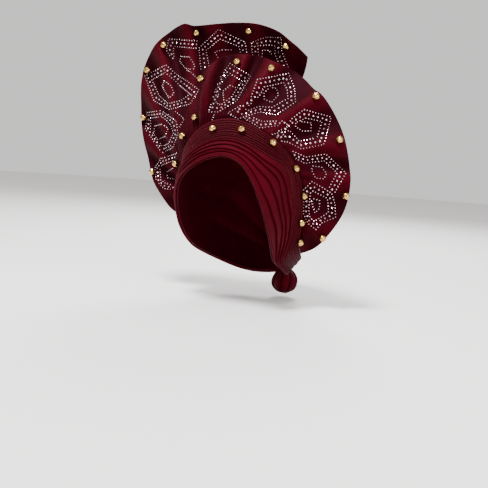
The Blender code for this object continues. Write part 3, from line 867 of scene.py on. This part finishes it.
def bored_bead(centre):
    """A round bead with a bore across, its outline spun about the bore."""
    bead = bmesh.new()
    radius, bore_angle = BEAD_DIAMETER / 2, np.arcsin(BEAD_BORE / BEAD_DIAMETER)
    outline = [bead.verts.new((radius * np.sin(angle), 0.0, radius * np.cos(angle)))
               for angle in np.linspace(bore_angle, np.pi - bore_angle, BEAD_ARC + 1)]
    edges = [bead.edges.new(pair) for pair in zip(outline, outline[1:] + outline[:1])]
    bmesh.ops.spin(bead, geom=outline + edges, cent=(0, 0, 0), axis=(0, 0, 1), angle=2 * np.pi,
                   steps=BEAD_STEPS, use_merge=True, use_duplicate=False)
    bmesh.ops.remove_doubles(bead, verts=bead.verts, dist=WELD)
    bmesh.ops.recalc_face_normals(bead, faces=bead.faces)
    bmesh.ops.rotate(bead, verts=bead.verts, cent=(0, 0, 0), matrix=Matrix.Rotation(np.pi / 2, 3, "Y"))
    bmesh.ops.translate(bead, verts=bead.verts, vec=centre)
    return bead


polished_gold = hammered_gold()
for node, centre in bead_centres.items():
    seat = min((skin.find_nearest(centre) for skin in (back_skin, front_skin, fine_skin)),
               key=lambda found: found[3])[0]
    centre = seat + (centre - seat).normalized() * (BEAD_DIAMETER / 2 - BEAD_SINK)
    piece = add_piece("gold_" + node, bored_bead(centre), polished_gold)
    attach(piece, "root")
    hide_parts(node)

# Stones: flat-backed faceted glass over foil, ironed on in motifs of a small ring inside a broad one,
# which has large stones between two rows of small ones. Their corners are places in the photograph,
# in pixels right and down from its top left, put where the camera sees the lobe there.
SMALL_STONE = 0.0017
LARGE_STONE = 0.0026
SMALL_PITCH = 0.0037
LARGE_PITCH = 0.0060
STONE_HEIGHT = 0.36
STONE_TABLE = 0.55
STONE_SIDES = 8
STONE_SINK = 0.0001
STONE_SPACE = 0.0008
BEAD_ROOM = 0.0068
PHOTO_SIDE = 488
DULL_STONE = 0.30
BACK_RINGS = [
    # closed, then for each corner: outer right, outer down, inner right, inner down
    (False, [
        (177, 153.5, 173, 161), (161, 158.5, 163, 164.5), (154.5, 168.5, 160, 167.5),
        (156.5, 181, 160.5, 179.5), (164, 188.5, 165, 183), (173, 189.5, 173, 185.5)
    ]),
    (True, [
        (147.5, 112.5, 150.5, 118), (161, 110.5, 162, 116.5), (176, 121, 170.5, 124.5),
        (178, 133, 173.5, 133), (173, 147.5, 168.5, 143.5), (162, 153, 162.5, 146.5),
        (145.5, 129, 150.5, 129.5)
    ]),
    (True, [
        (145, 76, 152, 80), (166, 65, 165, 72.5), (177, 75, 172, 78), (187, 81, 180.5, 86),
        (199, 90, 190, 94), (190, 104, 181, 100.5), (169, 109.5, 168, 103.5),
        (154, 100.5, 159, 95.5)
    ]),
    (False, [
        (171, 58, 174.5, 59), (166.5, 50, 173, 50), (168.5, 39, 174.5, 46.5), (197, 41, 196, 48.5)
    ]),
    (False, [
        (201, 69, 209, 66), (199, 48, 206, 50.5), (218.5, 29.5, 220, 39), (245, 42, 239, 46.5),
        (247, 55, 241, 55)
    ]),
    (False, [
        (253, 58, 258.5, 55), (251.5, 42.5, 258, 46), (266, 37, 267, 44.8), (281, 38, 275.5, 45.5),
        (282, 52, 275, 54), (288, 67, 279, 64)
    ]),
]
BACK_LOOPS = [
    # closed, then for each corner: right, down
    (False, [
        (172.5, 168.5), (166.5, 172.5), (168, 178.5), (173, 178.5)
    ]),
    (True, [
        (154.5, 126), (162.5, 124), (168, 128.5), (165, 136.5), (159, 139), (154, 133.5)
    ]),
    (False, [
        (175.5, 111.5), (181, 116), (184, 119), (180.5, 125.5), (176, 130)
    ]),
    (True, [
        (164.5, 81), (171, 85.5), (174, 93.5), (169, 98), (162, 86.5)
    ]),
    (True, [
        (181, 56.5), (189.5, 57), (195, 66), (193, 70), (185, 68), (179.5, 61)
    ]),
    (False, [
        (184, 68.5), (191, 72.5), (197, 78)
    ]),
    (False, [
        (219, 60), (215, 52), (221, 50), (231, 50)
    ]),
    (False, [
        (262, 56.5), (262.5, 50.5), (269, 50), (271.5, 54)
    ]),
]
FRONT_RINGS = [
    (True, [
        (230, 63.5, 230, 73.5), (250.5, 76, 242, 81), (236.5, 101, 232, 96.5),
        (218, 112, 221, 105), (208.5, 112, 216, 103), (219, 80, 223, 80)
    ]),
    (True, [
        (257.5, 79.5, 264.5, 87), (288.5, 73.5, 283.5, 82.5), (294.5, 88, 287, 89),
        (295.5, 102, 288, 98.5), (276, 115, 272, 107.5), (260, 112, 259, 106.5),
        (238, 119, 248, 110.5), (228, 113, 245, 109), (250, 100, 259, 96)
    ]),
    (False, [
        (245, 118.5, 254, 118), (260, 128, 262, 121.5), (287, 124.5, 282, 121)
    ]),
    (True, [
        (292, 118.5, 300, 120.5), (304, 109.5, 306, 118), (331, 117, 322, 121.5),
        (325.5, 139.5, 317.5, 136.5), (323.5, 144.5, 316.5, 138), (301.5, 149, 299.5, 141.5),
        (288, 142, 289.5, 130.5), (280, 141, 271.5, 134.5)
    ]),
    (False, [
        (293, 151.5, 296, 158.5), (306, 157, 305, 163.5), (326, 154, 324, 160.5),
        (346, 173, 337, 173), (335, 192, 329.5, 187)
    ]),
    (True, [
        (303.5, 190, 310.5, 193), (312, 181.5, 313, 191), (331.5, 193, 327, 198),
        (335, 204, 328.3, 205), (335.5, 217.5, 328.3, 212.5), (321.5, 223, 319, 218.5),
        (316, 229.5, 314.5, 221.5), (308, 223.5, 310, 217.5), (303.5, 214, 308.5, 210)
    ]),
]
FRONT_LOOPS = [
    (True, [
        (230, 85.5), (236, 87.5), (233, 95), (229, 98.5), (223.5, 100), (223, 91)
    ]),
    (False, [
        (214, 115), (213, 118.5), (211, 122)
    ]),
    (True, [
        (270, 87), (276.5, 88.5), (278.5, 95), (271.5, 102.5), (264, 99), (264, 93)
    ]),
    (True, [
        (296, 120.5), (295.5, 126.5), (302.5, 131), (311, 131), (311.5, 123)
    ]),
    (True, [
        (313, 166), (321.5, 167), (326.5, 173.5), (324, 179), (315.5, 178), (311.5, 170)
    ]),
    (True, [
        (311, 198), (319.5, 200.5), (319.5, 208.5), (315, 213), (312.5, 206)
    ]),
]


def foiled_glass():
    """Clear faceted glass over foil, each stone's colour painted bright or dull at random as a painted
    glint, for how it happens to sit to the light.
    """
    finish = bpy.data.materials.new("cut_glass")
    finish.use_nodes = True
    nodes, links = finish.node_tree.nodes, finish.node_tree.links
    shader = nodes["Principled BSDF"]
    shader.inputs["Metallic"].default_value = 0.85
    shader.inputs["Coat Weight"].default_value = 0.2
    shader.inputs["Coat Roughness"].default_value = 0.03
    painted_glint = nodes.new("ShaderNodeAttribute")
    painted_glint.attribute_name = "painted_glint"
    tone = nodes.new("ShaderNodeMix")
    tone.data_type = "RGBA"
    tone.inputs["A"].default_value = (0.14, 0.07, 0.09, 1.0)
    tone.inputs["B"].default_value = (0.92, 0.74, 0.78, 1.0)
    links.new(painted_glint.outputs["Fac"], tone.inputs["Factor"])
    links.new(tone.outputs["Result"], shader.inputs["Base Color"])
    facet = nodes.new("ShaderNodeMapRange")
    facet.inputs["To Min"].default_value = 0.30
    facet.inputs["To Max"].default_value = 0.14
    links.new(painted_glint.outputs["Fac"], facet.inputs["Value"])
    links.new(facet.outputs["Result"], shader.inputs["Roughness"])
    return finish


def on_lobe(skin, pixel):
    """Where the camera sees a lobe at a pixel and which way the cloth faces there, or Nones."""
    aside, below = (np.array(pixel) - PHOTO_SIDE / 2) * CAMERA_SENSOR / PHOTO_SIDE
    ray = Vector(aside * right - below * up - CAMERA_FOCAL * back).normalized()
    return skin.ray_cast(Vector(stand), ray)[:2]


def stone_row(skin, corners, closed, pitch):
    """Places at one pitch along the runs from corner to corner, and the way the cloth faces there."""
    corners = np.array(corners + corners[:1] if closed else corners)
    seats = [on_lobe(skin, corner)[0] for corner in corners]
    known = [index for index, seat in enumerate(seats) if seat]
    seats = [seats[min(known, key=lambda other: abs(other - index))] for index in range(len(seats))]
    legs = [max((end - start).length, pitch) for start, end in zip(seats, seats[1:])]
    run = np.append(0, np.cumsum(legs))
    count = max(1, round(run[-1] / pitch))
    at = run[-1] * np.arange(count + (not closed)) / count
    pixels = np.array([np.interp(at, run, corners[:, axis]) for axis in (0, 1)]).T
    return [place for place in (on_lobe(skin, pixel) for pixel in pixels) if place[0]]


def set_stones(name, skin, rings, loops):
    """One piece of all the stones on a lobe: none sits on another, or under a bead."""
    rows = []
    for closed, corners in rings:
        outer = [corner[:2] for corner in corners]
        inner = [corner[2:] for corner in corners]
        middle = [tuple((np.array(out) + np.array(ins)) / 2) for out, ins in zip(outer, inner)]
        rows.append((middle, closed, LARGE_PITCH, LARGE_STONE))
        rows.append((outer, closed, SMALL_PITCH, SMALL_STONE))
        rows.append((inner, closed, SMALL_PITCH, SMALL_STONE))
    rows += [(corners, closed, SMALL_PITCH, SMALL_STONE) for closed, corners in loops]
    stones, taken = bmesh.new(), []
    painted_glint = stones.verts.layers.float.new("painted_glint")
    chance = np.random.default_rng(len(rows))
    for corners, closed, pitch, width in rows:
        for place, way in stone_row(skin, corners, closed, pitch):
            if any((place - other).length < (width + wide) / 2 + STONE_SPACE for other, wide in taken):
                continue
            if any((place - bead).length < BEAD_ROOM for bead in bead_centres.values()):
                continue
            taken.append((place, width))
            height = STONE_HEIGHT * width
            middle = place + way * (height / 2 - STONE_SINK)
            turned = way.to_track_quat("Z", "Y").to_matrix().to_4x4()
            turned = turned @ Matrix.Rotation(chance.uniform(0, 2 * np.pi), 4, "Z")
            cone = bmesh.ops.create_cone(stones, cap_ends=True, segments=STONE_SIDES, radius1=width / 2,
                                         radius2=STONE_TABLE * width / 2, depth=height,
                                         matrix=Matrix.Translation(middle) @ turned)
            # Painted glint: a random brightness for each stone's colour.
            caught = chance.uniform(DULL_STONE, 1)
            for vert in cone["verts"]:
                vert[painted_glint] = caught
    piece = add_piece(name, stones, cut_glass, smooth=False)
    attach(piece, "root")
    return piece


cut_glass = foiled_glass()
back_stones = set_stones("back_lobe_stones", back_skin, BACK_RINGS, BACK_LOOPS)
front_stones = set_stones("front_lobe_stones", front_skin, FRONT_RINGS, FRONT_LOOPS)
